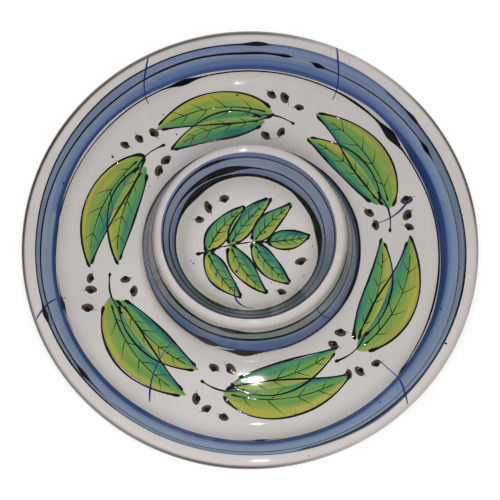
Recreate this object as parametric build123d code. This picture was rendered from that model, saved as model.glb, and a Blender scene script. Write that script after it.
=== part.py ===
from build123d import *
import math
import os

# Serving plate with a raised dip bowl, in millimetres.
# The origin is on the table, under the middle of the plate, and +Z is up.
# Every piece is round about Z, so each is a section in (radius, height) turned about that axis.

# Overall sizes, measured over the glaze
PLATE_DIAMETER = 340.0
RIM_HEIGHT = 42.0
BOWL_HEIGHT = 53.5
GLAZE = 0.5

# Dish: the wall flares outwards by its run, and the rim stands out beyond it by its width
FLOOR_THICKNESS = 7.0
WALL_THICKNESS = 7.0
WALL_RUN = 18.5
WALL_COVE = 14.0
RIM_WIDTH = 9.5
RIM_EDGE = 9.5
RIM_INNER_ROUND = 9.0
RIM_OUTER_ROUND = 4.3
RIM_UNDER_COVE = 4.0

# Collar in the middle of the dish: from the bowl's lip it spreads downwards by its run
COLLAR_RUN = 12.75
COLLAR_THICKNESS = 6.5
COLLAR_COVE = 6.0
COLLAR_UNDER_ROUND = 3.0
COLLAR_CROWN_COVE = 3.0

# Dip bowl: from the mouth its wall closes in by its run down to the bowl's floor
BOWL_MOUTH_DIAMETER = 128.0
BOWL_WALL_RUN = 20.5
BOWL_DEPTH = 35.0
BOWL_THICKNESS = 6.5
BOWL_COVE = 20.0
LIP_WIDTH = 5.25
LIP_INNER_ROUND = 2.2
LIP_OUTER_ROUND = 3.8

# Foot ring, set in from the floor's edge, and slip joints
FOOT_INSET = 29.5
FOOT_WIDTH = 8.0
FOOT_HEIGHT = 6.0
FOOT_COVE = 2.0
FOOT_EDGE_ROUND = 1.5
FOOT_BARE = 2.5
SLIP = 0.8

# Clay heights and radii under the glaze
floor_z = FOOT_HEIGHT + FLOOR_THICKNESS
rim_top = RIM_HEIGHT - GLAZE
rim_radius = PLATE_DIAMETER / 2 - GLAZE
rim_under = rim_top - RIM_EDGE
rim_seam = (rim_top + rim_under) / 2
rim_round = min(RIM_OUTER_ROUND, 0.46 * RIM_EDGE)
rim_mouth = rim_radius - RIM_WIDTH
floor_radius = rim_mouth - WALL_RUN
wall_turn = math.atan2(rim_top - floor_z, WALL_RUN)
rim_crown = min(RIM_INNER_ROUND, 0.97 * (RIM_WIDTH - rim_round) / math.tan(wall_turn / 2))
lip_top = BOWL_HEIGHT - GLAZE
bowl_mouth = BOWL_MOUTH_DIAMETER / 2 + GLAZE
bowl_floor_z = lip_top - BOWL_DEPTH
lip_radius = bowl_mouth + LIP_WIDTH
foot_radius = floor_radius - FOOT_INSET
foot_inner = foot_radius - FOOT_WIDTH / 2
foot_outer = foot_radius + FOOT_WIDTH / 2


def beside(start, end, distance):
    """The line from start to end, moved to its right by distance."""
    run = end[0] - start[0]
    rise = end[1] - start[1]
    length = math.hypot(run, rise)
    step = (rise / length * distance, -run / length * distance)
    return [(point[0] + step[0], point[1] + step[1]) for point in (start, end)]


def meet(first, second):
    """The point where two lines cross, each given by two of its points."""
    (ax, az), (bx, bz) = first
    (cx, cz), (dx, dz) = second
    first_run, first_rise = bx - ax, bz - az
    second_run, second_rise = dx - cx, dz - cz
    cross = first_run * second_rise - first_rise * second_run
    along = ((cx - ax) * second_rise - (cz - az) * second_run) / cross
    return (ax + along * first_run, az + along * first_rise)


def level(height):
    """The level line at a height."""
    return [(0.0, height), (rim_radius, height)]


def path(corners):
    """An open line through corners of (point, rounding radius); its two ends have no rounding."""
    points = [point for point, _ in corners]
    radii = [radius for _, radius in corners[1:-1]]
    return FilletPolyline(*points, radius=radii)


def turned(section):
    """The solid that a section in (radius, height) sweeps about Z."""
    return revolve(Plane.XZ * section, Axis.Z)


def skin(corners, side):
    """A coat of glaze along one side of a line of corners."""
    return turned(make_face(offset(path(corners), GLAZE, side=side).edges()))


# Straight stretches of the section, each as two points
bowl_wall = [(bowl_mouth - BOWL_WALL_RUN, bowl_floor_z), (bowl_mouth, lip_top)]
bowl_back = beside(*bowl_wall, BOWL_THICKNESS)
seat = beside(*bowl_wall, BOWL_THICKNESS + SLIP)
lip_outer = (lip_radius, lip_top)
collar_face = [lip_outer, (lip_radius + COLLAR_RUN, floor_z)]
collar_back = beside(*collar_face, COLLAR_THICKNESS)
rim_wall = [(floor_radius, floor_z), (rim_mouth, rim_top)]
rim_back = beside(*rim_wall, WALL_THICKNESS)
bowl_under_z = bowl_floor_z - BOWL_THICKNESS

# The clay's upper side, from the middle of the bowl out to the rim's edge
face_corners = [
    ((0.0, bowl_floor_z), 0.0),
    (bowl_wall[0], BOWL_COVE),
    (bowl_wall[1], LIP_INNER_ROUND),
    (lip_outer, LIP_OUTER_ROUND),
    (collar_face[1], COLLAR_COVE),
    (rim_wall[0], WALL_COVE),
    (rim_wall[1], rim_crown),
    ((rim_radius, rim_top), rim_round),
    ((rim_radius, rim_seam), 0.0),
]

# The clay's under side outside the foot ring, from the rim's edge inwards
back_corners = [
    ((rim_radius, rim_seam), 0.0),
    ((rim_radius, rim_under), rim_round),
    (meet(rim_back, level(rim_under)), RIM_UNDER_COVE),
    (meet(rim_back, level(FOOT_HEIGHT)), WALL_COVE + WALL_THICKNESS),
    ((foot_outer, FOOT_HEIGHT), FOOT_COVE),
    ((foot_outer, FOOT_BARE), 0.0),
]

# The clay's under side inside the foot ring, up the collar and down round the bowl
hollow_corners = [
    ((foot_inner, FOOT_BARE), 0.0),
    ((foot_inner, FOOT_HEIGHT), FOOT_COVE),
    (meet(collar_back, level(FOOT_HEIGHT)), COLLAR_UNDER_ROUND),
    (meet(collar_back, bowl_back), COLLAR_CROWN_COVE),
    (meet(bowl_back, level(bowl_under_z)), BOWL_COVE + BOWL_THICKNESS),
    ((0.0, bowl_under_z), 0.0),
]

# The bare edge that the plate stands on
foot_edge = [
    ((foot_outer, FOOT_BARE), 0.0),
    ((foot_outer, 0.0), FOOT_EDGE_ROUND),
    ((foot_inner, 0.0), FOOT_EDGE_ROUND),
    ((foot_inner, FOOT_BARE), 0.0),
]

outlines = [path(corners) for corners in (face_corners, back_corners, foot_edge, hollow_corners)]
axis_edge = Line((0.0, bowl_under_z), (0.0, bowl_floor_z))
clay = make_face([edge for line in outlines for edge in line.edges()] + [axis_edge])

# The slip joints divide the clay: a cone under the bowl's lip, and a flat ring on the foot
reach = PLATE_DIAMETER


def beyond(line, distance):
    """Everything within a distance to the right of a line that runs on past both its ends."""
    start, end = line
    scale = reach / math.hypot(end[0] - start[0], end[1] - start[1])
    run = (end[0] - start[0]) * scale
    rise = (end[1] - start[1]) * scale
    long_line = [(start[0] - run, start[1] - rise), (end[0] + run, end[1] + rise)]
    far_line = beside(*long_line, distance)
    return make_face(Polyline(*long_line, *reversed(far_line), close=True))


def foot_slice(low, high):
    """The band between two heights, as wide as the foot ring with its coves."""
    width = FOOT_WIDTH + 2 * FOOT_COVE
    return Pos(foot_radius, (low + high) / 2) * Rectangle(width, high - low)


bowl_section = clay - beyond(bowl_back, reach)
bowl_joint = clay & beyond(bowl_back, SLIP)
foot_section = clay & foot_slice(0.0, FOOT_HEIGHT - SLIP)
foot_joint = clay & foot_slice(FOOT_HEIGHT - SLIP, FOOT_HEIGHT)
plate_section = (clay & beyond(seat, reach)) - foot_section - foot_joint

nodes = {
    "plate": turned(plate_section),
    "dip_bowl": turned(bowl_section),
    "foot_ring": turned(foot_section),
    "bowl_luting": turned(bowl_joint),
    "foot_luting": turned(foot_joint),
    "face_glaze": skin(face_corners, Side.LEFT),
    "back_glaze": skin(back_corners, Side.LEFT),
    "hollow_glaze": skin(hollow_corners, Side.LEFT),
}

os.makedirs("parts", exist_ok=True)
for name, solid in nodes.items():
    export_step(solid, f"parts/{name}.step")
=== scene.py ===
import functools
import math
import bpy
import numpy as np
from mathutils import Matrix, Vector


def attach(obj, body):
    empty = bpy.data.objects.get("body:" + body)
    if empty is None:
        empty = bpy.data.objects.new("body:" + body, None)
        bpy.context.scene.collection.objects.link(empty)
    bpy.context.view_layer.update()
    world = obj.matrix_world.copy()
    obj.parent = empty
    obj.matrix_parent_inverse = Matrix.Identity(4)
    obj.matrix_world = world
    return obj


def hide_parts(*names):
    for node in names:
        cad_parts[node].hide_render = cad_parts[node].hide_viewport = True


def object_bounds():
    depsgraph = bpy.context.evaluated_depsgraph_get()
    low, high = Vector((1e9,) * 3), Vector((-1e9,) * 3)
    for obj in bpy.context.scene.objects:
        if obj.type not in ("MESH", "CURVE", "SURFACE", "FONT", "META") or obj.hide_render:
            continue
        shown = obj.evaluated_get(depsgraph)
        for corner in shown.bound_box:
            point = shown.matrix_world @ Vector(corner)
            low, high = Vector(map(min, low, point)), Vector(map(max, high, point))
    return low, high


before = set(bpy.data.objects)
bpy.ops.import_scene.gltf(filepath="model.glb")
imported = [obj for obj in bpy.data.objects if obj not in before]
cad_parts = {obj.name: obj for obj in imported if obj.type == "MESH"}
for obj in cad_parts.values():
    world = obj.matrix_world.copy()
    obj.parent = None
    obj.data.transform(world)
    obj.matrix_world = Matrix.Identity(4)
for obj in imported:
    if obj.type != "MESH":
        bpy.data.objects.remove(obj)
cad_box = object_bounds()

# Looks of a hand-painted serving plate with a raised dip bowl. Lengths are in metres.
MM = 0.001
TURN = 2 * math.pi
rng = np.random.default_rng(11)

# Sizes of the clay under the glaze, as the solids have them
GLAZE = 0.5 * MM
RIM_RADIUS = (cad_box[1][0] - cad_box[0][0]) / 2 - GLAZE
RIM_TOP = 41.5 * MM
RIM_EDGE = 9.5 * MM
RIM_MOUTH = RIM_RADIUS - 9.5 * MM
FLOOR_RADIUS = RIM_MOUTH - 18.5 * MM
FLOOR_Z = 13 * MM
LIP_TOP = cad_box[1][2] - GLAZE
BOWL_MOUTH = 64.5 * MM
BOWL_FLOOR_RADIUS = BOWL_MOUTH - 20.5 * MM
BOWL_FLOOR_Z = LIP_TOP - 35 * MM
LIP_RADIUS = BOWL_MOUTH + 5.25 * MM
COLLAR_BASE = LIP_RADIUS + 12.75 * MM
FOOT_BARE = 2.5 * MM

# Corners of the upper side, from the middle of the bowl to the rim's edge: radius, height, rounding
FACE_CORNERS = [
    (0.0, BOWL_FLOOR_Z, 0.0),
    (BOWL_FLOOR_RADIUS, BOWL_FLOOR_Z, 20 * MM),
    (BOWL_MOUTH, LIP_TOP, 2.2 * MM),
    (LIP_RADIUS, LIP_TOP, 3.8 * MM),
    (COLLAR_BASE, FLOOR_Z, 6 * MM),
    (FLOOR_RADIUS, FLOOR_Z, 14 * MM),
    (RIM_MOUTH, RIM_TOP, 9 * MM),
    (RIM_RADIUS, RIM_TOP, 4.3 * MM),
    (RIM_RADIUS, RIM_TOP - RIM_EDGE / 2, 0.0),
]
LINE_STEP = 2.2 * MM
END_STEP = 0.15 * MM
ARC_STEP = math.radians(6.5)
AROUND = 360


def rounded_profile(corners):
    """Points and left-hand normals of a line through corners of (radius, height, rounding).

    Each corner turns along an arc that touches its two straight legs. The legs between the arcs are
    divided evenly, with a short step at each end so that they stay straight up to the arcs."""
    corner = np.array([c[:2] for c in corners])
    legs = np.diff(corner, axis=0)
    ways = legs / np.linalg.norm(legs, axis=1)[:, None]
    sides = np.stack([-ways[:, 1], ways[:, 0]], axis=1)
    points, normals = [], []
    start = corner[0]
    for i, way in enumerate(ways):
        last = i == len(ways) - 1
        trim, turn = 0.0, 0.0
        if not last:
            following = ways[i + 1]
            turn = math.atan2(way[0] * following[1] - way[1] * following[0], way @ following)
            trim = corners[i + 1][2] * math.tan(abs(turn) / 2)
        end = corner[i + 1] - way * trim
        length = np.linalg.norm(end - start)
        brief = min(END_STEP / length, 0.3)
        share = np.linspace(brief, 1 - brief, max(2, int(length / LINE_STEP)))
        share = np.concatenate([[0], share, [1] if last else []])[:, None]
        points.append(start + (end - start) * share)
        normals.append(np.repeat(sides[i][None], len(share), axis=0))
        if not last:
            sign = math.copysign(1.0, turn)
            radius = corners[i + 1][2]
            centre = end + sign * radius * sides[i]
            angle = np.linspace(0, turn, max(3, int(abs(turn) / ARC_STEP) + 1), endpoint=False)
            spun = np.stack([
                np.cos(angle) * sides[i][0] - np.sin(angle) * sides[i][1],
                np.sin(angle) * sides[i][0] + np.cos(angle) * sides[i][1]], axis=1)
            points.append(centre - sign * radius * spun)
            normals.append(spun)
            start = corner[i + 1] + following * trim
    return np.concatenate(points), np.concatenate(normals)


clay, face_normal = rounded_profile(FACE_CORNERS)
face = clay + GLAZE * face_normal
face_run = np.concatenate([[0.0], np.cumsum(np.linalg.norm(np.diff(face, axis=0), axis=1))])
crest = int(np.argmax(face[:, 1]))
RUN_END = face_run[-1]


def bowl_run(radius):
    """Length along the upper side at a radius inside the bowl, from the middle to the lip."""
    return np.interp(radius, face[:crest, 0], face_run[:crest])


def well_run(radius):
    """Length along the upper side at a radius outside the bowl's lip."""
    return np.interp(radius, face[crest:, 0], face_run[crest:])


def smooth(value, low, high):
    """0 below low, 1 above high, and an S curve between them."""
    share = np.clip((value - low) / (high - low), 0, 1)
    return share * share * (3 - 2 * share)


# Slow swells of the glaze: waves round the plate, drift per metre along the section, phase, height
SWELLS = [(3, 20, 0.0, 0.09 * MM), (5, -15, 1.3, 0.06 * MM)]
SWELL_SINK = 0.2 * MM
SWELL_FADE = 9 * MM
CALM_RADIUS = 30 * MM


def waver(run, theta):
    """How far the glaze stands from its true surface: slow hand-made swells round the plate.

    They fade out at the middle, along the bowl's lip and at the rim's edge."""
    radius = np.interp(run, face_run, face[:, 0])
    swell = sum(h * np.sin(waves * theta + drift * run + phase) for waves, drift, phase, h in SWELLS)
    edge = 1 - smooth(run, RUN_END - SWELL_FADE, RUN_END - 1 * MM)
    lip = 1 - np.exp(-((run - face_run[crest]) / SWELL_FADE) ** 2)
    return (swell * smooth(radius, 0, CALM_RADIUS) - SWELL_SINK) * edge * lip


def polar(radius, theta):
    """Points at a radius and an angle."""
    return np.stack([radius * np.cos(theta), radius * np.sin(theta)], axis=-1)


def turned(radius, theta, height):
    """Points at a radius, an angle and a height."""
    return np.stack(np.broadcast_arrays(radius * np.cos(theta), radius * np.sin(theta), height), axis=-1)


def on_face(run, theta, lift):
    """Points on the upper side at a length along its section and an angle, raised by lift."""
    radius, height, out, up = (np.interp(run, face_run, line) for line in (*face.T, *face_normal.T))
    rise = waver(run, theta) + lift
    return turned(radius + out * rise, theta, height + up * rise)


def tube_faces(rows, around):
    """Faces of rows of rings between two poles, and each corner's place along and round as 0 to 1.

    The vertices are one pole, the rings in turn, then the other pole. The faces are a fan, the quads
    between the rings and another fan, each given by its corners' rows and columns."""
    one = np.ones(around)
    col = np.arange(around)
    row = np.repeat(np.arange(1, rows), around)
    ring_col = np.tile(col, rows - 1)
    groups = [
        ([0 * one, one, one], [col + 0.5, col, col + 1]),
        ([row, row + 1, row + 1, row], [ring_col, ring_col, ring_col + 1, ring_col + 1]),
        ([rows * one, (rows + 1) * one, rows * one], [col, col + 0.5, col + 1])]
    faces, uv = [], []
    for places, turns in groups:
        place, turn = np.stack(places, axis=-1), np.stack(turns, axis=-1)
        vertex = np.clip((place - 1) * around + np.floor(turn) % around + 1, 0, rows * around + 1)
        faces += vertex.astype(int).tolist()
        uv.append(np.stack([place / (rows + 1), turn / around], axis=-1).reshape(-1, 2))
    return faces, np.concatenate(uv)


def new_object(name, data):
    """An object in the scene."""
    made = bpy.data.objects.new(name, data)
    bpy.context.scene.collection.objects.link(made)
    return made


def new_piece(name, verts, faces, uv, material, **attributes):
    """A mesh object that rides with the plate, smooth shaded, with per-vertex attributes."""
    mesh = bpy.data.meshes.new(name)
    mesh.from_pydata(verts.reshape(-1, 3).tolist(), [], faces)
    for key, values in attributes.items():
        layer = mesh.attributes.new(key, "FLOAT", "POINT")
        layer.data.foreach_set("value", np.asarray(values, dtype=np.float32).ravel())
    layer = mesh.uv_layers.new(name="OFBake")
    layer.data.foreach_set("uv", np.asarray(uv, dtype=np.float32).ravel())
    mesh.shade_smooth()
    mesh.materials.append(material)
    piece = new_object(name, mesh)
    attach(piece, "root")
    return piece


# Shares of the baking map: the glaze's upper side as a disc and its inner side as a ring round that
DISC_REACH = 0.47
INNER_REACH = (0.475, 0.49)


def make_face_glaze(material):
    """The glaze over the upper side: the section's outer line and, back along it, its inner line on
    the clay, both turned about the axis. The baking map is a disc whose radius is the length run."""
    theta = np.linspace(0, TURN, AROUND, endpoint=False)
    inner = clay[::-2]
    inner = inner[inner[:, 0] > 1 * MM]
    run = face_run[1:]
    outer_points = on_face(run[:, None], theta[None], 0.0)
    inner_points = turned(inner[:, :1], theta, inner[:, 1:])
    rings = np.concatenate([outer_points, inner_points]).reshape(-1, 3)
    verts = np.concatenate([[[0, 0, face[0, 1]]], rings, [[0, 0, clay[0, 1]]]])
    rows = len(run) + len(inner)
    faces, uv = tube_faces(rows, AROUND)
    disc = np.concatenate([[0], DISC_REACH * run / RUN_END, np.linspace(*INNER_REACH, len(inner) + 1)])
    reach = disc[np.rint(uv[:, 0] * (rows + 1)).astype(int)]
    uv = 0.5 + polar(reach, TURN * uv[:, 1])
    run_all = np.concatenate([[0], np.repeat(run, AROUND), np.zeros(len(inner) * AROUND + 1)])
    piece = new_piece("face_glaze_skin", verts, faces, uv, material, run=run_all)
    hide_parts("face_glaze")


def chart_by(run_at):
    """A chart from a flat drawing to an angle and the length along the section that run_at gives."""
    def chart(spot):
        return run_at(np.hypot(spot[..., 0], spot[..., 1])), np.arctan2(spot[..., 1], spot[..., 0])
    return chart


# The well and the bowl are drawn in plan. The whole upper side can also be opened into a disc.
in_well = chart_by(well_run)
in_bowl = chart_by(bowl_run)
unrolled = chart_by(np.positive)

# How deep marks are sunk, and the half-width under which they get lower. On the baking map, their top
# side's share and the margin of their cells.
SUNK = 0.12 * MM
BLUNT = 0.35 * MM
TOP_SHARE = 0.85
CELL_MARGIN = 0.03


def sideways(line):
    """Unit ways along a line, and to its left."""
    way = np.gradient(line, axis=0)
    way = way / np.linalg.norm(way, axis=1)[:, None]
    return way, np.stack([-way[:, 1], way[:, 0]], axis=1)


def stroke(chart, line, half, rise, sides=8, crown=1.0):
    """One painted mark: a flattened tube carried along a line drawn in a chart of the upper side.

    Across the line it reaches half to each side as a cosine. Over the glaze it rises as a sine to the
    power crown, and underneath it is sunk into the glaze."""
    way, side = sideways(line)
    phi = np.linspace(0, TURN, sides, endpoint=False)
    across = -np.cos(phi)
    spot = line[:, None] + side[:, None] * (half[:, None] * across)[..., None]
    bulge = np.sin(phi)
    lift = np.where(bulge > 0, rise * np.abs(bulge) ** crown, SUNK * bulge)
    lift = lift * np.clip(half / BLUNT, 0.1, 1)[:, None]
    run, theta = chart(spot)
    rings = on_face(run, theta, lift).reshape(-1, 3)
    ends = np.stack([line[0] - way[0] * half[0], line[-1] + way[-1] * half[-1]])
    poles = on_face(*chart(ends), np.zeros(2))
    faces, uv = tube_faces(len(line), sides)
    top = uv[:, 1] <= 0.5
    uv[:, 1] = np.where(top, 2 * TOP_SHARE * uv[:, 1], 1 - 2 * (1 - TOP_SHARE) * (1 - uv[:, 1]))
    along = np.linspace(0, 1, len(line))
    return {
        "verts": np.concatenate([poles[:1], rings, poles[1:]]),
        "faces": faces,
        "uv": uv,
        "along": np.concatenate([[0], np.repeat(along, sides), [1]]),
        "across": np.concatenate([[0], np.tile(across, len(line)), [0]]),
    }


def make_marks(name, marks, material, columns=1):
    """Marks joined into one piece, each with its own cell of the baking map and its own seed."""
    rows = math.ceil(len(marks) / columns)
    counts = np.array([len(m["verts"]) for m in marks])
    starts = np.concatenate([[0], np.cumsum(counts)[:-1]])
    faces = [[v + int(first) for v in corner] for m, first in zip(marks, starts) for corner in m["faces"]]
    cells = []
    for i, mark in enumerate(marks):
        corner = np.array([i % columns, i // columns])
        inside = CELL_MARGIN + (1 - 2 * CELL_MARGIN) * mark["uv"]
        cells.append((corner + inside) / np.array([columns, rows]))
    new_piece(
        name, np.concatenate([m["verts"] for m in marks]), faces, np.concatenate(cells), material,
        along=np.concatenate([m["along"] for m in marks]),
        across=np.concatenate([m["across"] for m in marks]),
        seed=np.repeat(rng.random(len(marks)), counts))


# A hand's waves round the plate, and how they change a line's width, as a share, and its place, in
# millimetres. Then the line's steps round the plate, those that its ends taper over, and heights.
HAND_WAVES = (2, 3, 5, 9)
RING_UNEVEN = 0.3
RING_DRIFT = 0.2
RING_STEPS = 560
TAPER_STEPS = 6
LEAST_HALF = 0.02
LINE_RISE = 0.16 * MM
FILL_RISE = 0.07 * MM


def unsteady(theta):
    """Unsteadiness of a hand round the plate: sines of a few waves each with seeded phases, -1 to 1."""
    phase = rng.uniform(0, TURN, len(HAND_WAVES))
    return sum(np.sin(w * theta + p) for w, p in zip(HAND_WAVES, phase)) / len(HAND_WAVES)


def ring_line(course, first, last, thin, swells):
    """A line trailed round the plate along a course, from one angle to another; millimetres. It is
    thin, with swells where the hand slowed: each is (angle, length, half-width), a bell along the
    line. Its ends taper."""
    steps = int(RING_STEPS * (last - first) / 360) + 8
    degrees = np.linspace(first, last, steps)
    theta = np.radians(degrees)
    angles, runs = zip(*course)
    place = np.interp(degrees, angles, runs, period=360)
    half = thin * (1 + RING_UNEVEN * unsteady(theta))
    for angle, length, size in swells:
        off = np.angle(np.exp(1j * (theta - math.radians(angle)))) * place / length
        half = half + size * np.exp(-(2 * off) ** 2)
    share = np.linspace(0, 1, steps)
    taper = TAPER_STEPS / steps
    half = half * smooth(share, 0, taper) * smooth(1 - share, 0, taper) + LEAST_HALF
    place = place + RING_DRIFT * unsteady(theta)
    return stroke(unrolled, polar(place * MM, theta), half * MM, LINE_RISE)


def srgb(red, green, blue):
    """A screen colour of 0 to 255 as linear red, green, blue and an alpha of 1."""
    share = np.array([red, green, blue]) / 255
    linear = np.where(share <= 0.04045, share / 12.92, ((share + 0.055) / 1.055) ** 2.4)
    return (*linear.tolist(), 1.0)


def feed(node, inputs):
    """Gives each named input of a node a value, or links it from a socket."""
    for key, value in inputs.items():
        if isinstance(value, bpy.types.NodeSocket):
            node.id_data.links.new(value, node.inputs[key])
        else:
            node.inputs[key].default_value = value


def put(tree, kind, inputs=(), **properties):
    """A node with its properties set and its inputs fed."""
    made = tree.nodes.new(kind)
    for key, value in properties.items():
        setattr(made, key, value)
    feed(made, dict(inputs))
    return made


# Makers of one node each, which they put in the tree of a socket that they are given
def math_node(operation, first, second=0.0, clamp=False):
    """The output of a Math node."""
    return put(first.id_data, "ShaderNodeMath", {0: first, 1: second}, operation=operation,
               use_clamp=clamp).outputs[0]


times = functools.partial(math_node, "MULTIPLY")
plus = functools.partial(math_node, "ADD")
minus = functools.partial(math_node, "SUBTRACT")


def vector_node(operation, first, second=(0, 0, 0)):
    """The output of a Vector Math node."""
    return put(first.id_data, "ShaderNodeVectorMath", {0: first, 1: second},
               operation=operation).outputs[0]


def scaled(vector, factor):
    """A vector or colour times a factor."""
    inputs = {0: vector, "Scale": factor}
    return put(vector.id_data, "ShaderNodeVectorMath", inputs, operation="SCALE").outputs[0]


def joined(first, second, third):
    """A vector of three values, the last of them from a socket."""
    return put(third.id_data, "ShaderNodeCombineXYZ", {0: first, 1: second, 2: third}).outputs[0]


def split(vector):
    """A vector's three values."""
    return put(vector.id_data, "ShaderNodeSeparateXYZ", {0: vector}).outputs


def mix_colours(share, first, second):
    """The output of a node that mixes two colours."""
    return put(share.id_data, "ShaderNodeMix", {0: share, 6: first, 7: second},
               data_type="RGBA").outputs[2]


def noise(vector, scale, detail=2.0):
    """The value of a noise texture, about 0 to 1."""
    inputs = {"Vector": vector, "Scale": scale, "Detail": detail}
    return put(vector.id_data, "ShaderNodeTexNoise", inputs).outputs[0]


def remap(value, low, high, to_low=0.0, to_high=1.0, kind="LINEAR"):
    """A value mapped from one range to another, and clamped."""
    inputs = {0: value, 1: low, 2: high, 3: to_low, 4: to_high}
    return put(value.id_data, "ShaderNodeMapRange", inputs, interpolation_type=kind).outputs[0]


def ramp(value, stops):
    """A colour ramp of (place, colour), where the colour's fourth number is its cover."""
    made = put(value.id_data, "ShaderNodeValToRGB", {0: value})
    elements = made.color_ramp.elements
    elements[0].position, elements[0].color = stops[0]
    elements[1].position, elements[1].color = stops[-1]
    for place, colour in stops[1:-1]:
        elements.new(place).color = colour
    return made.outputs


def new_group(name, inputs, outputs):
    """An empty shader node group, its given sockets and its output node. Sockets are {name: kind}."""
    tree = bpy.data.node_groups.new(name, "ShaderNodeTree")
    for direction, sockets in (("INPUT", inputs), ("OUTPUT", outputs)):
        for title, kind in sockets.items():
            tree.interface.new_socket(title, in_out=direction, socket_type="NodeSocket" + kind)
    return tree, tree.nodes.new("NodeGroupInput").outputs, tree.nodes.new("NodeGroupOutput")


def object_place(tree):
    """The Object coordinates."""
    return tree.nodes.new("ShaderNodeTexCoord").outputs["Object"]


def attribute(tree, name):
    """A mesh attribute's value."""
    return put(tree, "ShaderNodeAttribute", attribute_name=name).outputs["Fac"]


def ring_place_group():
    """Where a point is on the turned surface: its length along the section, its direction round, and
    its angle as a share of a turn."""
    tree, _, out = new_group("ring_place", {}, {"Run": "Float", "Round": "Vector", "Turn": "Float"})
    flat = vector_node("MULTIPLY", object_place(tree), (1, 1, 0))
    way = split(flat)
    turn = math_node("FRACT", math_node("DIVIDE", math_node("ARCTAN2", way[1], way[0]), TURN))
    feed(out, {"Run": attribute(tree, "run"), "Round": vector_node("NORMALIZE", flat), "Turn": turn})
    return tree


def brush_streak_group():
    """Streaks of a brush held to the turning plate: noise that is fine along the section and long
    round the ring."""
    tree, given, out = new_group(
        "brush_streaks", {"Run": "Float", "Round": "Vector", "Fineness": "Float", "Length": "Float"},
        {"Streak": "Float"})
    rise = times(given["Run"], given["Fineness"])
    place = vector_node("ADD", scaled(given["Round"], given["Length"]), joined(0, 0, rise))
    feed(out, {"Streak": noise(place, 1.0, 3.0)})
    return tree


def hand_waver_group():
    """The length along the section, shifted to and fro round the ring as a hand-held brush wavers."""
    tree, given, out = new_group(
        "hand_waver", {"Run": "Float", "Round": "Vector", "Reach": "Float"}, {"Run": "Float"})
    rise = times(given["Run"], 30)
    slow = noise(vector_node("ADD", given["Round"], joined(0, 0, rise)), 2.2, 1.0)
    feed(out, {"Run": plus(given["Run"], times(minus(slow, 0.5), given["Reach"]))})
    return tree


def glaze_gloss_group():
    """A fired gloss: roughness that varies a little, and the low waves of orange peel."""
    tree, given, out = new_group(
        "glaze_gloss", {"Gloss": "Float", "Spread": "Float"}, {"Roughness": "Float", "Height": "Float"})
    place = object_place(tree)
    varied = times(minus(noise(place, 60, 2), 0.5), given["Spread"])
    peel = plus(times(noise(place, 110, 0), 0.8), times(noise(place, 420, 0), 0.2))
    feed(out, {"Roughness": plus(given["Gloss"], varied), "Height": peel})
    return tree


def mottle_group():
    """Two colours in soft patches of a size."""
    tree, given, out = new_group(
        "mottle", {"First": "Color", "Second": "Color", "Scale": "Float"}, {"Color": "Color"})
    share = remap(noise(object_place(tree), given["Scale"], 3.0), 0.35, 0.65)
    feed(out, {"Color": mix_colours(share, given["First"], given["Second"])})
    return tree


ring_place = ring_place_group()
brush_streaks = brush_streak_group()
hand_waver = hand_waver_group()
glaze_gloss = glaze_gloss_group()
mottle = mottle_group()


def use(tree, group, **inputs):
    """A group placed in a material, with its inputs given by name."""
    made = put(tree, "ShaderNodeGroup", node_tree=group)
    feed(made, {key.capitalize(): value for key, value in inputs.items()})
    return made.outputs


def new_material(name):
    """A material with its node tree and its shader."""
    material = bpy.data.materials.new(name)
    material.use_nodes = True
    tree = material.node_tree
    return material, tree, tree.nodes["Principled BSDF"]


GLAZE_SPECULAR = 0.35
GLOSS = 0.02
GLOSS_SPREAD = 0.008
PEEL = 0.015
PEEL_DEPTH = 0.4 * MM
PAINT_GLOSS = 0.2
BACK_GLOSS = 0.1


def bumped(height, strength, distance):
    """The normal of a surface that a height makes uneven."""
    inputs = {"Height": height, "Strength": strength, "Distance": distance}
    return put(height.id_data, "ShaderNodeBump", inputs).outputs[0]


def glossy(shader, colour, gloss=GLOSS):
    """Joins a colour and the fired gloss to a shader."""
    fired = use(shader.id_data, glaze_gloss, gloss=gloss, spread=GLOSS_SPREAD)
    feed(shader, {
        "Base Color": colour, "Roughness": fired["Roughness"], "Specular IOR Level": GLAZE_SPECULAR,
        "Normal": bumped(fired["Height"], PEEL, PEEL_DEPTH)})


WHITE = srgb(206, 201, 197)
WARM_WHITE = srgb(199, 194, 190)
LIP_WHITE = srgb(214, 203, 202)
LIP_GREY_WHITE = srgb(196, 189, 185)
DEEP_COBALT = srgb(14, 46, 100)
COBALT = srgb(22, 56, 114)
SOFT_COBALT = srgb(56, 84, 138)
SOFT_BLUE = srgb(92, 114, 160)
PALE_BLUE = srgb(102, 126, 170)
BLUE_GREY = srgb(125, 141, 174)
SILVER_BLUE = srgb(134, 148, 172)
SLATE = srgb(112, 127, 150)
BOWL_BLUE = srgb(102, 116, 150)
BOWL_GREY = srgb(128, 139, 164)
COLLAR_BLUE = srgb(92, 112, 158)
COLLAR_DEEP = srgb(70, 94, 150)
TOP_BLUE = srgb(50, 66, 96)
GREEN_GREY = srgb(130, 138, 142)
NIGHT_BLUE = srgb(28, 44, 80)
EDGE_BROWN = srgb(46, 31, 35)

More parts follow.
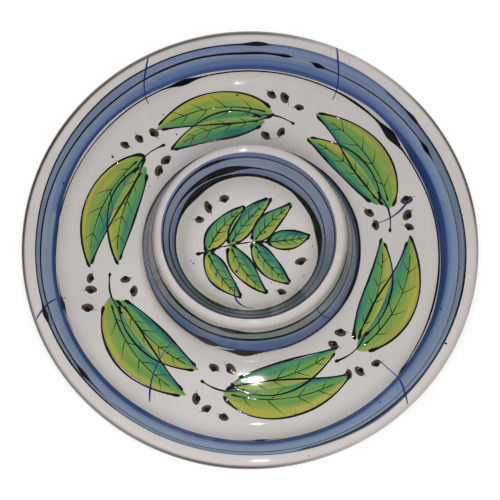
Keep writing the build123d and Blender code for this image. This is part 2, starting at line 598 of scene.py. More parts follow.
# Courses of a hand-held brush round the plate: an angle in degrees, and millimetres along the section
RIM_BASE = [
    (0, 189.8), (15, 188.8), (30, 188.6), (36, 190.8), (43, 193.2), (50, 193.9), (60, 192.9), (75, 192.6),
    (92, 193.0), (105, 193.8), (118, 194.0), (128, 195.6), (140, 196.8), (152, 196.8), (164, 195.8),
    (170, 195.0), (175, 193.6), (181, 194.0), (190, 195.6), (215, 196.0), (238, 194.4), (255, 194.8),
    (272, 196.4), (288, 197.2), (300, 196.7), (316, 196.0), (323, 194.6), (338, 193.4), (348, 191.4)]
RIM_STEP = [
    (0, 199.0), (15, 198.2), (30, 197.2), (45, 198.2), (120, 199.0), (150, 200.2), (168, 200.4),
    (172, 198.6), (180, 198.8), (190, 200.2), (205, 201.4), (230, 202.4), (255, 202.2), (270, 203.6),
    (288, 204.6), (300, 203.9), (315, 201.5), (330, 200.3), (345, 200.0)]
RIM_MIDDLE = [
    (0, 210.5), (10, 209.2), (20, 208.2), (29, 207.2), (45, 207.0), (66, 206.2), (70, 206.6), (74, 208.6),
    (80, 208.0), (86, 208.3), (92, 207.8), (105, 209.2), (120, 208.8), (132, 208.7), (150, 209.8),
    (170, 211.2), (182, 212.0), (192, 213.2), (215, 213.6), (228, 214.0), (260, 214.5), (282, 216.0),
    (310, 215.8), (330, 215.4), (342, 213.8), (352, 211.8)]
RIM_TOP_EDGE = [
    (0, 218.6), (10, 217.2), (20, 216.3), (32, 215.8), (42, 216.2), (50, 217.3), (58, 217.8), (80, 217.5),
    (90, 216.8), (110, 217.5), (135, 217.9), (160, 217.4), (175, 217.4), (195, 218.4), (205, 218.9),
    (220, 218.5), (240, 218.1), (262, 218.4), (275, 219.2), (290, 220.6), (303, 221.8), (312, 221.3),
    (322, 220.5), (345, 219.9)]
RIM_TOP_LINE = [
    (0, 217.8), (10, 216.4), (20, 215.4), (32, 214.8), (42, 215.2), (86, 216.4), (92, 216.0),
    (110, 216.7), (135, 217.1), (160, 216.6), (175, 216.6), (195, 217.6), (205, 218.1), (220, 217.7),
    (240, 217.3), (280, 218.2), (300, 219.5), (318, 219.5), (345, 219.0)]
BASE_LINE = [
    (0, 189.0), (12, 188.5), (25, 187.8), (36, 188.0), (42, 188.6), (50, 189.8), (60, 190.8), (75, 191.2),
    (92, 191.6), (112, 191.6), (118, 192.9), (128, 193.9), (150, 194.4), (165, 194.7), (172, 194.6),
    (198, 194.9), (273, 195.4), (318, 195.4), (326, 192.6), (340, 191.0), (350, 190.0)]
BOWL_BASE = [
    (0, 57.8), (10, 57.2), (30, 56.5), (42, 56.2), (60, 56.9), (90, 58.9), (120, 61.2), (140, 62.6),
    (150, 63.6), (165, 64.2), (190, 65.0), (220, 64.5), (240, 63.9), (250, 63.0), (270, 61.0),
    (300, 60.4), (340, 59.6), (350, 58.6)]
BOWL_MIDDLE = [
    (0, 65.5), (40, 65.3), (80, 65.6), (90, 66.3), (105, 66.8), (120, 67.8), (130, 68.8), (140, 70.0),
    (150, 71.2), (160, 72.1), (175, 73.0), (190, 73.2), (215, 72.7), (250, 72.0), (270, 71.3),
    (285, 71.6), (300, 71.4), (320, 69.6), (340, 66.9), (350, 66.0)]
BOWL_UPPER = [
    (0, 78.4), (20, 77.4), (40, 76.9), (65, 76.0), (80, 76.2), (100, 77.0), (120, 78.7), (140, 80.2),
    (160, 81.1), (200, 81.4), (240, 80.4), (270, 80.0), (300, 80.1), (330, 79.7), (345, 79.2)]
BOWL_TOP_EDGE = [
    (0, 81.0), (40, 80.8), (80, 81.0), (120, 82.4), (140, 83.2), (190, 83.2), (225, 82.8), (262, 82.2),
    (300, 82.6), (320, 82.4), (345, 81.8)]
COLLAR_TOP = [
    (0, 96.0), (180, 95.5), (215, 96.0), (235, 95.6), (258, 96.0), (275, 97.1), (310, 97.0), (345, 96.3)]
COLLAR_MIDDLE = [
    (0, 109.8), (180, 110.2), (200, 110.0), (215, 108.8), (232, 107.2), (252, 106.3), (265, 106.3),
    (280, 107.2), (300, 109.0), (320, 109.9), (345, 110.0)]
COLLAR_EDGE = [
    (0, 129.2), (15, 130.3), (50, 130.0), (130, 129.0), (160, 128.3), (178, 126.4), (195, 123.2),
    (225, 122.3), (250, 122.2), (262, 122.4), (275, 124.8), (290, 126.2), (315, 127.0), (340, 128.2)]
THIN_GLAZE = [
    (0, 228.0), (10, 226.9), (20, 226.6), (30, 226.2), (60, 225.2), (90, 224.6), (120, 224.8),
    (150, 225.4), (175, 226.5), (200, 227.6), (270, 228.0), (345, 228.8)]

# Places along the section: where the bowl lip's greyer white begins and ends, the lip's middle, the well,
# and where the rim turns rosy
LIP_RISES = (80 * MM, 85 * MM)
LIP_FALLS = (92 * MM, 97 * MM)
LIP_RUN = 89 * MM
WELL_RUN = 150 * MM
ROSY_RISES = (222 * MM, 227 * MM)
ROSINESS = 0.8
BRUSH_WAVER = 0.8 * MM

# Painted light and shade round the plate, by how far towards the far side a point lies: the rim's paint
# is painted lighter on the near side, the bowl's paint painted darker on its near wall, and the collar's
# paint painted darker on its sides and back. Each gives two places and the factors there. Then the
# streaks of two brushes.
RIM_PAINTED_LIGHT = (-0.5, -0.9, 1, 1.22)
BOWL_PAINTED_SHADE = (0.3, -0.7, 1, 0.4)
COLLAR_PAINTED_SHADE = (-0.55, 0.0, 1, 0.5)
BROAD_STREAKS = {"fineness": 900.0, "length": 1.4}
FINE_STREAKS = {"fineness": 2600.0, "length": 2.4}

# How soft the step in the rim's blue is, and how brown the rim's thin glaze, from 0 to 1 round the plate
SOFTNESS = [(0, 0), (30, 0), (46, 1), (115, 1), (135, 0.4), (166, 0.3), (171, 0)]
BROWNNESS = [
    (0, 0.7), (10, 1), (20, 1), (36, 0.85), (50, 0.3), (60, 0.05), (72, 0.3), (86, 0.8), (125, 0.85),
    (150, 1), (185, 1), (215, 0.6), (240, 0.65), (255, 0.9), (272, 0.9), (286, 0.4), (300, 0.05),
    (340, 0.05)]

# Painted bands between courses: steps from one course to the next, colour, cover
RIM_BAND = [
    (0, DEEP_COBALT, 0), (0.08, DEEP_COBALT, 1), (0.85, COBALT, 1), (1.1, PALE_BLUE, 1),
    (1.4, BLUE_GREY, 1), (1.92, SILVER_BLUE, 1), (2.06, SLATE, 1), (2.68, SLATE, 1), (2.84, TOP_BLUE, 1),
    (2.96, TOP_BLUE, 0.95), (3, TOP_BLUE, 0)]
RIM_SOFT_BAND = [
    (0, SOFT_COBALT, 0), (0.08, SOFT_COBALT, 1), (0.6, SOFT_COBALT, 1), (0.95, SOFT_BLUE, 1),
    (1.35, PALE_BLUE, 1), (1.8, SILVER_BLUE, 1), (2.05, BLUE_GREY, 1), (2.65, BLUE_GREY, 1),
    (2.85, SOFT_BLUE, 1), (2.96, SOFT_COBALT, 0.9), (3, SOFT_COBALT, 0)]
BOWL_BAND = [
    (0, DEEP_COBALT, 0), (0.12, DEEP_COBALT, 1), (0.28, BOWL_BLUE, 1), (0.95, BOWL_GREY, 1),
    (1.9, BOWL_GREY, 1), (2.08, BOWL_BLUE, 1), (2.6, BOWL_BLUE, 1), (2.92, COLLAR_DEEP, 0.95),
    (3, COLLAR_DEEP, 0)]
COLLAR_BAND = [
    (0, GREEN_GREY, 0), (0.06, GREEN_GREY, 0.9), (0.9, GREEN_GREY, 0.9), (1.06, SILVER_BLUE, 0.95),
    (1.25, PALE_BLUE, 1), (1.5, COLLAR_BLUE, 1), (1.78, COLLAR_DEEP, 1), (1.9, COBALT, 1),
    (1.98, NIGHT_BLUE, 1), (2, NIGHT_BLUE, 0)]


def course_node(turn, course, unit=MM):
    """A course's value at an angle given as a share of a turn, straight between its points."""
    angles, values = zip(*course)
    low, high = min(values), max(values)
    seam = float(np.interp(0, angles, values, period=360))
    points = [(0, seam)] + [(a / 360, v) for a, v in course if 0 < a < 360] + [(1, seam)]
    shares = [(place, (value - low) / (high - low)) for place, value in points]
    grey = ramp(turn, [(place, (share, share, share, 1)) for place, share in shares])
    return remap(grey["Color"], 0, 1, low * unit, high * unit)


def band_place(run, courses):
    """Where a length along the section lies among courses: 0 at the first, 1 at the last, and even
    steps from each course to the next."""
    step = 1 / (len(courses) - 1)
    return functools.reduce(plus, [remap(run, *pair, 0, step) for pair in zip(courses, courses[1:])])


def band_paint(place, band):
    """The colour and cover of a painted band at a place from 0 to 1 across it."""
    whole = band[-1][0]
    stops = [(at / whole, (*colour[:3], cover)) for at, colour, cover in band]
    return ramp(place, stops)


# The second coat on the rim's wall: where its slanting brush end starts and stops, along the section
# and round the plate, how sharp its ends and sides are, and how far round it fades
DEGREE = 1 / 360
COAT_START = (199.5 * MM, 169.5 * DEGREE)
COAT_STOP = (207.5 * MM, 172 * DEGREE)
COAT_END = 0.7 * DEGREE
COAT_FADE = (6 * DEGREE, 34 * DEGREE)
COAT_SIDE = 1 * MM

# The brown edge: where it deepens past its course, and where it gets fainter
BROWN_DEEPENS = (-2.4 * MM, 0.2 * MM)
BROWN_FADES = (0.7 * MM, 2.0 * MM)
BROWN_FAINT = 0.5


def second_coat(run, turn, low, high):
    """How much of a second, paler coat lies between two courses on the rim's wall: it starts at a
    slanting brush end and fades out round the plate."""
    start = remap(run, COAT_START[0], COAT_STOP[0], COAT_START[1], COAT_STOP[1])
    from_end = minus(turn, start)
    here = times(remap(from_end, 0, COAT_END), remap(from_end, *COAT_FADE, 1, 0))
    above = remap(minus(run, low), 0, COAT_SIDE)
    under = remap(minus(high, run), 0, COAT_SIDE)
    return times(here, times(above, under))


def brown_edge(run, turn):
    """How brown the rim's edge is: it deepens softly up to a course, and is fainter down the side."""
    past = minus(run, course_node(turn, THIN_GLAZE))
    deep = remap(past, *BROWN_DEEPENS, kind="SMOOTHSTEP")
    line = math_node("MINIMUM", deep, remap(past, *BROWN_FADES, 1, BROWN_FAINT))
    return times(line, course_node(turn, BROWNNESS, 1.0))


def painted_glaze():
    """White glaze with blue and grey bands that carry painted light and shade round the plate, a rosier
    lip, and a brown edge where the glaze is thin.
    """
    material, tree, shader = new_material("painted_glaze")
    place = use(tree, ring_place)
    run, round_, turn = place["Run"], place["Round"], place["Turn"]
    far_side = split(round_)[1]
    white = use(tree, mottle, first=WHITE, second=WARM_WHITE, scale=16.0)["Color"]
    white = mix_colours(remap(run, *ROSY_RISES, 0, ROSINESS), white, LIP_WHITE)
    # The bowl's lip is given a greyer white.
    on_lip = math_node("MINIMUM", remap(run, *LIP_RISES), remap(run, *LIP_FALLS, 1, 0))
    white = mix_colours(on_lip, white, LIP_GREY_WHITE)
    brushed = use(tree, hand_waver, run=run, round=round_, reach=BRUSH_WAVER)["Run"]
    rim_courses, bowl_courses, collar_courses = (
        [course_node(turn, course) for course in courses] for courses in (
            (RIM_BASE, RIM_STEP, RIM_MIDDLE, RIM_TOP_EDGE),
            (BOWL_BASE, BOWL_MIDDLE, BOWL_UPPER, BOWL_TOP_EDGE),
            (COLLAR_TOP, COLLAR_MIDDLE, COLLAR_EDGE)))
    rim_place = band_place(brushed, rim_courses)
    sharp = band_paint(rim_place, RIM_BAND)
    soft = band_paint(rim_place, RIM_SOFT_BAND)
    rim_colour = mix_colours(course_node(turn, SOFTNESS, 1.0), sharp["Color"], soft["Color"])
    coat = second_coat(brushed, turn, rim_courses[1], rim_courses[2])
    rim_colour = mix_colours(coat, rim_colour, SILVER_BLUE)
    # Painted light: the rim's bands are painted lighter on the near side.
    rim_colour = scaled(rim_colour, remap(far_side, *RIM_PAINTED_LIGHT))
    bowl = band_paint(band_place(brushed, bowl_courses), BOWL_BAND)
    collar = band_paint(band_place(brushed, collar_courses), COLLAR_BAND)
    # Painted shade: the bowl's bands are painted darker on the near wall, and the collar's on its sides
    # and back.
    bowl_colour = scaled(bowl["Color"], remap(far_side, *BOWL_PAINTED_SHADE))
    collar_colour = scaled(collar["Color"], remap(far_side, *COLLAR_PAINTED_SHADE))
    outside = math_node("GREATER_THAN", run, LIP_RUN)
    beyond = math_node("GREATER_THAN", run, WELL_RUN)
    paint = mix_colours(outside, bowl_colour, collar_colour)
    paint = mix_colours(beyond, paint, rim_colour)
    cover = plus(plus(bowl["Alpha"], collar["Alpha"]), sharp["Alpha"])
    broad = use(tree, brush_streaks, run=run, round=round_, **BROAD_STREAKS)["Streak"]
    fine = use(tree, brush_streaks, run=run, round=round_, **FINE_STREAKS)["Streak"]
    shade = plus(remap(broad, 0.3, 0.7, -0.18, 0.18), remap(fine, 0.3, 0.7, -0.1, 0.1))
    toned = mix_colours(remap(shade, -0.3, 0.3), scaled(paint, 0.75), scaled(paint, 1.25))
    wash = times(cover, remap(fine, 0.3, 0.75, 1.0, 0.95))
    colour = mix_colours(wash, white, toned)
    colour = mix_colours(brown_edge(run, turn), colour, EDGE_BROWN)
    glossy(shader, colour, gloss=remap(cover, 0, 1, GLOSS, PAINT_GLOSS))
    return material


# Brown on the underside: how far from the rim's seam it starts and is full, and its height by the foot
SEAM_BROWN = (2.6 * MM, 0.8 * MM)
FOOT_BROWN = 1.6 * MM


def plain_glaze():
    """Plain glaze of the underside, brown where it thins at the rim's edge and beside the foot."""
    material, tree, shader = new_material("plain_glaze")
    place = object_place(tree)
    white = use(tree, mottle, first=WHITE, second=WARM_WHITE, scale=14.0)["Color"]
    plan = put(tree, "ShaderNodeVectorMath", {0: vector_node("MULTIPLY", place, (1, 1, 0))},
               operation="LENGTH").outputs["Value"]
    height = plus(split(place)[2], times(minus(noise(place, 30), 0.5), 1.2 * MM))
    seam = RIM_TOP - RIM_EDGE / 2
    edge = times(remap(height, seam - SEAM_BROWN[0], seam - SEAM_BROWN[1], 0, 0.9),
                 math_node("GREATER_THAN", plan, FLOOR_RADIUS))
    foot = remap(height, FOOT_BARE + FOOT_BROWN, FOOT_BARE, 0, 0.8)
    colour = mix_colours(math_node("MAXIMUM", edge, foot), white, EDGE_BROWN)
    glossy(shader, colour, gloss=BACK_GLOSS)
    return material


def clay_material(name, first, second, grog):
    """Unglazed fired clay: patches of two tones, fine grog and a dry, pitted surface."""
    material, tree, shader = new_material(name)
    body = use(tree, mottle, first=first, second=second, scale=70.0)["Color"]
    grit = noise(object_place(tree), 1400, 2)
    colour = mix_colours(remap(grit, 0.58, 0.7, 0, 0.55), body, grog)
    feed(shader, {
        "Base Color": colour, "Roughness": remap(grit, 0.3, 0.7, 0.7, 0.9),
        "Normal": bumped(grit, 0.5, 0.3 * MM)})
    return material


def leaf_paint():
    """Thin green washes: yellow-green at one side of a mark, blue-green at the other, with streaks of
    the brush along it and pooling at its sides."""
    material, tree, shader = new_material("leaf_paint")
    along, across, seed = attribute(tree, "along"), attribute(tree, "across"), attribute(tree, "seed")
    apart = times(seed, 60)
    place = joined(along, across, apart)
    wet = noise(vector_node("MULTIPLY", place, (2.2, 3.0, 1.0)), 1.0, 2)
    streak = noise(vector_node("MULTIPLY", place, (1.6, 16.0, 1.0)), 1.0, 3)
    shift = plus(remap(wet, 0.3, 0.7, -0.2, 0.2), remap(seed, 0, 1, -0.12, 0.12))
    shift = plus(shift, remap(streak, 0.3, 0.7, -0.1, 0.1))
    washes = ramp(plus(remap(across, -1, 1), shift), [
        (0.0, srgb(172, 166, 72)), (0.2, srgb(152, 158, 70)), (0.36, srgb(122, 154, 72)),
        (0.55, srgb(96, 146, 78)), (0.74, srgb(78, 138, 92)), (0.9, srgb(56, 126, 108)),
        (1.0, srgb(40, 100, 92))])["Color"]
    colour = scaled(washes, remap(streak, 0.3, 0.72, 0.86, 1.16))
    pool = remap(math_node("ABSOLUTE", across), 0.82, 1.0, 0, 0.35)
    colour = mix_colours(pool, colour, srgb(48, 104, 88))
    glossy(shader, colour)
    return material


def trailed_slip(name, core, thin):
    """Dark slip from a trailer: deep where it is thick, and lighter at its thin sides."""
    material, tree, shader = new_material(name)
    across = math_node("ABSOLUTE", attribute(tree, "across"))
    patch = noise(object_place(tree), 90, 2)
    side = plus(across, remap(patch, 0.3, 0.7, -0.25, 0.2))
    colour = mix_colours(remap(side, 0.65, 1.1, 0, 1), core, thin)
    glossy(shader, colour)
    return material


FOOT_LINE_INSET = 1.1


def make_banding_lines(material):
    """Dark lines trailed round the rim's wall, the bowl and its collar."""
    foot_line = [(angle, run - FOOT_LINE_INSET) for angle, run in COLLAR_EDGE]
    lines = [
        ring_line(BASE_LINE, 317, 532, 0.66, [
            (319, 15, 1.7), (345, 80, 0.45), (40, 26, 3.0), (55, 40, 0.4), (111, 24, 2.1)]),
        ring_line(BASE_LINE, 188, 208, 0.3, [(198, 15, 1.9)]),
        ring_line(BASE_LINE, 266, 280, 0.3, [(273, 12, 1.4)]),
        ring_line(RIM_MIDDLE, 76.5, 229, 0.8, [
            (79, 18, 1.0), (90, 50, 0.45), (112, 70, 0.3), (220, 17, 2.1)]),
        ring_line(RIM_MIDDLE, 23, 73.5, 0.5, [(29, 14, 1.7), (70, 13, 1.8)]),
        ring_line(RIM_MIDDLE, 230, 383, 0.3, []),
        ring_line(RIM_TOP_LINE, 281, 410, 0.55, [(38, 15, 1.1), (305, 70, 0.25), (345, 60, 0.25)]),
        ring_line(RIM_TOP_LINE, 83, 234, 0.5, [(88, 26, 1.4), (201, 16, 1.6), (216, 60, 0.35)]),
        ring_line(BOWL_BASE, -22, 343, 1.35, [
            (8, 30, 3.1), (36, 26, 1.5), (120, 30, 0.6), (138, 34, 2.3), (242, 26, 2.4), (290, 50, 0.6)]),
        ring_line(BOWL_MIDDLE, -70, 295, 0.62, [
            (108, 34, 2.6), (126, 30, 1.5), (142, 30, 0.6), (200, 60, 0.7), (255, 90, 1.0)]),
        ring_line(BOWL_UPPER, -30, 335, 0.6, [
            (118, 30, 1.1), (140, 36, 0.5), (200, 60, 0.3), (270, 90, 0.3)]),
        ring_line(COLLAR_TOP, 20, 385, 1.6, [(259, 24, 1.7), (225, 40, 0.4)]),
        ring_line(COLLAR_MIDDLE, 130, 495, 1.25, [(265, 70, 0.4), (310, 70, 0.4)]),
        ring_line(foot_line, 188, 255, 1.4, [(222, 70, 0.9), (247, 22, 2.4)]),
        ring_line([(0, 125.0)], 252, 283, 0.2, [(267, 34, 3.2)]),
        ring_line(foot_line, 284, 412, 1.1, [(335, 90, 0.7)]),
        ring_line(foot_line, 52, 187, 0.9, []),
    ]
    make_marks("banding_lines", lines, material)


LEAF_STEPS = 44


def leaf_line(base_radius, base_angle, length, lean, bend):
    """The midrib of a leaf that follows the ring: it goes round by its length and, by lean and bend,
    outwards or inwards."""
    share = np.linspace(0, 1, LEAF_STEPS)
    radius = base_radius + length * (lean * share + bend * share * share)
    middle = base_radius + length * lean / 2
    theta = base_angle + length * math.cos(math.atan(lean)) * share / middle
    return polar(radius, theta)


def leaf_half(width):
    """Half-widths of a leaf from its stalk to its tip: full a little before the middle, pointed ends."""
    share = np.linspace(0, 1, LEAF_STEPS)
    full = np.clip(np.sin(math.pi * share ** 0.82), 0, 1) ** 0.85
    return width / 2 * full * (1 - 0.12 * share) + 0.15 * MM


def trail_half(count, thin, blob):
    """Half-widths of a trailed line: a blob where it starts, thin along, and a small blob at its end."""
    share = np.linspace(0, 1, count)
    swell = 0.25 * thin * np.sin(TURN * (1.5 * share + rng.random()))
    start = blob * np.exp(-(share / 0.045) ** 2)
    end = 0.6 * blob * np.exp(-((1 - share) / 0.04) ** 2)
    blunt = smooth(share, -0.03, 0.02) * smooth(1 - share, -0.03, 0.02)
    return (thin + swell + start + end) * blunt + 0.03 * MM


def leaf_marks(chart, line, width, fills, lines):
    """One leaf: its wash, the two trailed outlines that stray from it a little, its midrib and veins."""
    half = leaf_half(width)
    fills.append(stroke(chart, line, half, FILL_RISE, sides=24, crown=0.35))
    share = np.linspace(0, 1, LEAF_STEPS)
    way, left = sideways(line)
    for hand in (-1, 1):
        stray = rng.uniform(-0.5, 0.9) * MM + 0.6 * MM * np.sin(TURN * (share + rng.random()))
        first, last = rng.integers(0, 4), LEAF_STEPS - rng.integers(0, 3)
        off = hand * (half + stray * np.sin(math.pi * share))
        outline = (line + left * off[:, None])[first:last]
        lines.append(stroke(chart, outline, trail_half(len(outline), 0.72 * MM, 1.3 * MM), LINE_RISE))
    off = 0.8 * MM * np.sin(math.pi * share) * rng.uniform(-1, 1)
    rib = (line + left * off[:, None])[3:-6]
    thinning = np.linspace(1, 0.55, len(rib))
    lines.append(stroke(chart, rib, trail_half(len(rib), 0.55 * MM, 0.6 * MM) * thinning, LINE_RISE))
    steps = np.linspace(0, 1, 10)[:, None]
    for hand in (-1, 1):
        for place in np.linspace(0.2, 0.74, 4) + rng.uniform(-0.03, 0.03, 4):
            at = int(place * LEAF_STEPS)
            reach = half[at] * rng.uniform(0.55, 0.75)
            onward = way[at] * (0.9 * steps + 0.3 * steps ** 2)
            vein = line[at] + reach * (hand * left[at] * steps + onward)
            lines.append(stroke(chart, vein, 0.48 * MM * np.linspace(1, 0.35, 10), LINE_RISE))


def dot(chart, centre, length, width, angle, rise):
    """An oval dot: a short stroke whose half-widths follow an ellipse."""
    share = np.sin(np.linspace(-0.98, 0.98, 11) * math.pi / 2)
    line = np.array(centre) + length / 2 * share[:, None] * np.array([math.cos(angle), math.sin(angle)])
    return stroke(chart, line, width / 2 * np.sqrt(1 - share * share), rise, sides=10, crown=0.6)


def berry(chart, centre, size, halos, cores):
    """A berry: a brown wash, and beside its middle a dark drop drawn out into a tail."""
    turn = rng.uniform(0, TURN)
    away = np.array([math.cos(turn), math.sin(turn)])
    left = np.array([-away[1], away[0]]) * rng.choice([-1, 1])
    middle = np.array(centre) + (0.12 * left - 0.1 * away) * size
    halos.append(dot(chart, middle, size * 1.25, size * 0.8, turn, FILL_RISE + 0.04 * MM))
    steps = np.linspace(0, 1, 16)
    line = np.array(centre) + away * (steps * size * 1.25 - size * 0.35)[:, None]
    line = line - left * (0.1 * size * np.sin(math.pi * steps))[:, None]
    head = np.sqrt(np.clip(1 - ((steps - 0.22) / 0.23) ** 2, 0, 1))
    half = size * 0.24 * head + 0.5 * MM * (1 - steps) + 0.08 * MM
    cores.append(stroke(chart, line, half, LINE_RISE + 0.03 * MM, crown=0.7))


# The wreath, and its berries by radius and angle from each pair of leaves
SPRIGS = 6
WREATH_RADIUS = 108 * MM
BERRIES = ((126, -0.07), (129, 0.03), (121, -0.15), (97, -0.09), (95, 0.02))

# Leaves of the sprig in the bowl: where each starts along the stem, its angle in degrees and its length
SPRIG_LEAVES = [
    (0.14, 66, 45), (0.47, 64, 47), (0.8, 58, 40), (0.14, -70, 45), (0.47, -69, 47), (0.8, -64, 41),
    (1.0, 8, 31)]
BOWL_BERRIES = ((-39, 21), (-31, 30), (-20, 37), (39, -12), (23, -36))


def make_leaf_wreath(wash, slip, brown):
    """A wreath of leaf pairs round the well and a sprig in the bowl, with berries between."""
    fills, lines, halos, cores = [], [], [], []
    for i in range(SPRIGS):
        angle = TURN * (i + 0.3) / SPRIGS + rng.uniform(-0.05, 0.05)
        outer = leaf_line(WREATH_RADIUS + 4 * MM, angle, rng.uniform(98, 106) * MM, 0.16, -0.06)
        leaf_marks(in_well, outer, rng.uniform(29, 32) * MM, fills, lines)
        inner = leaf_line(WREATH_RADIUS - 3 * MM, angle + 0.05, rng.uniform(76, 84) * MM, -0.1, 0.05)
        leaf_marks(in_well, inner, rng.uniform(20, 23) * MM, fills, lines)
        steps = np.linspace(0, 1, 30)
        stem = polar(WREATH_RADIUS + 3 * MM * np.sin(3 * steps), angle - 0.16 + 0.3 * steps)
        lines.append(stroke(in_well, stem, trail_half(30, 0.6 * MM, 1.2 * MM), LINE_RISE))
        for radius, turn in BERRIES:
            place = polar((radius + rng.uniform(-1.5, 1.5)) * MM, angle + turn + rng.uniform(-0.01, 0.01))
            berry(in_well, place, rng.uniform(6.0, 8.0) * MM, halos, cores)
    bowl_fills = []
    steps = np.linspace(0, 1, LEAF_STEPS)
    stem = np.stack([-40 + 54 * steps, -6 + 10 * steps + 3 * np.sin(math.pi * steps)], axis=1) * MM
    lines.append(stroke(in_bowl, stem, trail_half(LEAF_STEPS, 0.6 * MM, 1.2 * MM), LINE_RISE))
    for place, aim_angle, length in SPRIG_LEAVES:
        way = math.radians(aim_angle) * (1 - 0.22 * steps)
        reach = length * rng.uniform(0.96, 1.04) * MM * steps
        line = stem[int(place * (LEAF_STEPS - 1))] + polar(reach, way)
        leaf_marks(in_bowl, line, rng.uniform(15.5, 17) * MM, bowl_fills, lines)
    for place in BOWL_BERRIES:
        berry(in_bowl, np.array(place) * MM, rng.uniform(5.5, 7) * MM, halos, cores)
    make_marks("leaf_wreath", fills, wash, columns=2)
    make_marks("bowl_leaves", bowl_fills, wash)
    make_marks("leaf_outlines", lines, slip, columns=2)
    make_marks("berry_washes", halos, brown, columns=4)
    make_marks("berry_drops", cores, slip, columns=4)


# Specks: where they fall along the section, and their sizes, in millimetres
SPECKS = 38
SPECK_RUNS = ((132, 180), (188, 226), (10, 50))
SPECK_SIZES = (1.0, 1.5, 2.1)

# Flicked lines: where each starts and ends along the section, in millimetres, its angle and its sweep
FLICKS = [
    (184, 227, 62, 0.08), (188, 224, 124, -0.1), (138, 184, 231, 0.12), (176, 226, 318, -0.1),
    (142, 176, 12, 0.12), (190, 226, 196, 0.1), (30, 56, 250, 0.4), (94, 126, 312, 0.1),
    (73, 82, 310, 0.03)]


def make_specks(material):
    """Cobalt specks and fine lines flicked over the plate."""
    specks = []
    for _ in range(SPECKS):
        theta = rng.uniform(0, TURN)
        run = rng.choice([rng.uniform(*span) for span in SPECK_RUNS]) * MM
        size = rng.choice(SPECK_SIZES) * MM
        specks.append(dot(unrolled, polar(run, theta), size * rng.uniform(1, 1.5), size,
                          rng.uniform(0, TURN), LINE_RISE))
    for first, last, angle, sweep in FLICKS:
        steps = np.linspace(0, 1, 40)
        line = polar(first * MM + (last - first) * MM * steps, math.radians(angle) + sweep * steps ** 2)
        half = 0.48 * MM + 0.5 * MM * np.sin(math.pi * steps ** 2.4)
        specks.append(stroke(unrolled, line, half, LINE_RISE, sides=6))
    make_marks("cobalt_specks", specks, material, columns=4)


glaze_material = painted_glaze()
back_material = plain_glaze()
clay_body = clay_material("bare_clay", srgb(160, 112, 88), srgb(142, 96, 74), srgb(196, 160, 134))
slip_body = clay_material("luting_slip", srgb(150, 106, 84), srgb(136, 92, 72), srgb(170, 130, 106))
black_slip = trailed_slip("black_slip", srgb(12, 12, 16), srgb(40, 34, 38))
cobalt_slip = trailed_slip("cobalt_slip", srgb(28, 44, 118), srgb(62, 84, 150))
brown_wash = trailed_slip("brown_wash", srgb(74, 58, 44), srgb(112, 92, 78))
green_wash = leaf_paint()

make_face_glaze(glaze_material)
make_banding_lines(black_slip)
make_leaf_wreath(green_wash, black_slip, brown_wash)
make_specks(cobalt_slip)
FINISHES = {
    "back_glaze": back_material, "hollow_glaze": back_material,
    "plate": clay_body, "dip_bowl": clay_body, "foot_ring": clay_body,
    "bowl_luting": slip_body, "foot_luting": slip_body,
}
for title, finish in FINISHES.items():
    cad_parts[title].data.materials.clear()
    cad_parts[title].data.materials.append(finish)

# Camera, matched to the photograph's view
CAMERA_HEIGHT_ANGLE = math.radians(73.5)
CAMERA_DISTANCE = 1.02
CAMERA_FOCAL_PIXELS = 1339
IMAGE_PIXELS = 500
SENSOR = 36.0
aim = np.array([0.0, -0.8 * MM, FLOOR_Z + GLAZE])


def make_camera():
    """The camera, aimed at the middle of the well from in front and above."""
    data = bpy.data.cameras.new("camera")
    data.sensor_width = SENSOR
    data.lens = SENSOR * CAMERA_FOCAL_PIXELS / IMAGE_PIXELS
    camera = new_object("camera", data)
    back = np.array([0, -math.cos(CAMERA_HEIGHT_ANGLE), math.sin(CAMERA_HEIGHT_ANGLE)])
    camera.location = (aim + CAMERA_DISTANCE * back).tolist()
    camera.rotation_euler = (math.pi / 2 - CAMERA_HEIGHT_ANGLE, 0, 0)
    bpy.context.scene.camera = camera


LAMP_TARGET = np.array([0, 0, 0.02])
FLOOR_GLOW = 0.57
WORLD_LIGHT = 0.28


def make_lamp(name, place, width, depth, watts, glint=False):
    """A rectangular lamp that shines at the plate. It lights the plate softly, or as a glint it is only
    mirrored in the glaze."""
    data = bpy.data.lights.new(name, "AREA")
    data.shape = "RECTANGLE"
    data.size = width
    data.size_y = depth
    data.energy = watts
    lamp = new_object(name, data)
    lamp.location = place
    lamp.visible_glossy = glint
    lamp.visible_diffuse = not glint
    x, y, z = LAMP_TARGET - np.array(place)
    lamp.rotation_euler = (math.acos(-z / math.hypot(x, y, z)), 0, math.atan2(y, x) - math.pi / 2)


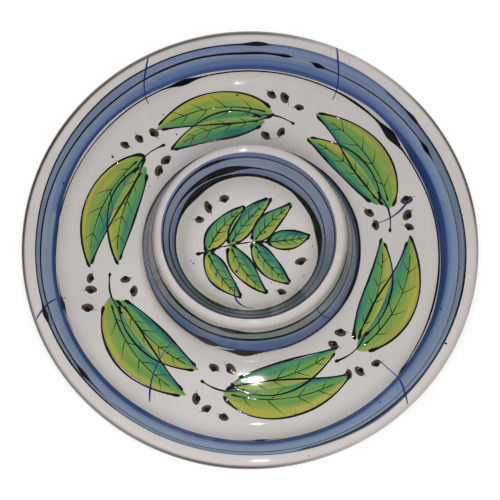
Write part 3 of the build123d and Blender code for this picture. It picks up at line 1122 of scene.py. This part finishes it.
def seen_directly(tree):
    """1 where the camera, a mirror or glass looks straight at a surface."""
    path = tree.nodes.new("ShaderNodeLightPath")
    seen = plus(path.outputs["Is Camera Ray"], path.outputs["Is Glossy Ray"])
    return math_node("ADD", seen, path.outputs["Is Transmission Ray"], clamp=True)


def make_floor():
    """A pale paper floor that turns up all round into a backdrop: a level disc, then a quarter arc
    turned about the axis. It keeps the plate's shadow, and is lifted to white where it is seen."""
    reach, bend, drop = 6.0, 2.2, 0.3 * MM
    theta = np.linspace(0, TURN, 72, endpoint=False)
    rise = np.linspace(0, math.pi / 2, 13)[:, None]
    rings = turned(reach + bend * np.sin(rise), theta, bend * (1 - np.cos(rise)) - drop).reshape(-1, 3)
    verts = np.concatenate([[[0, 0, -drop]], rings])
    faces, _ = tube_faces(len(rise), len(theta))
    mesh = bpy.data.meshes.new("floor")
    mesh.from_pydata(verts.tolist(), [], faces[:-len(theta)])
    mesh.shade_smooth()
    material, tree, shader = new_material("floor_paper")
    feed(shader, {
        "Base Color": srgb(236, 236, 236), "Roughness": 0.9, "Specular IOR Level": 0.0,
        "Emission Color": (1, 1, 1, 1), "Emission Strength": times(seen_directly(tree), FLOOR_GLOW)})
    mesh.materials.append(material)
    floor = new_object("floor", mesh)


def make_world():
    """Even, dim studio light from all sides."""
    world = bpy.data.worlds.new("studio")
    world.use_nodes = True
    feed(world.node_tree.nodes["Background"], {"Color": (1, 1, 1, 1), "Strength": WORLD_LIGHT})
    bpy.context.scene.world = world


make_camera()
make_lamp("front_box", (0.0, -0.2, 0.5), 0.26, 0.2, 1.45)
make_lamp("back_box", (0.0, 0.3, 0.65), 0.3, 0.2, 0.95)
make_lamp("top_box", (0.0, 0.0, 1.0), 0.3, 0.3, 0.5)
make_lamp("key_lamp", (0.011, 0.09, 0.99), 0.012, 0.006, 1.4, glint=True)
make_lamp("second_lamp", (-0.004, 0.093, 0.99), 0.004, 0.002, 0.08, glint=True)
make_floor()
make_world()
bpy.context.scene.view_settings.view_transform = "Standard"
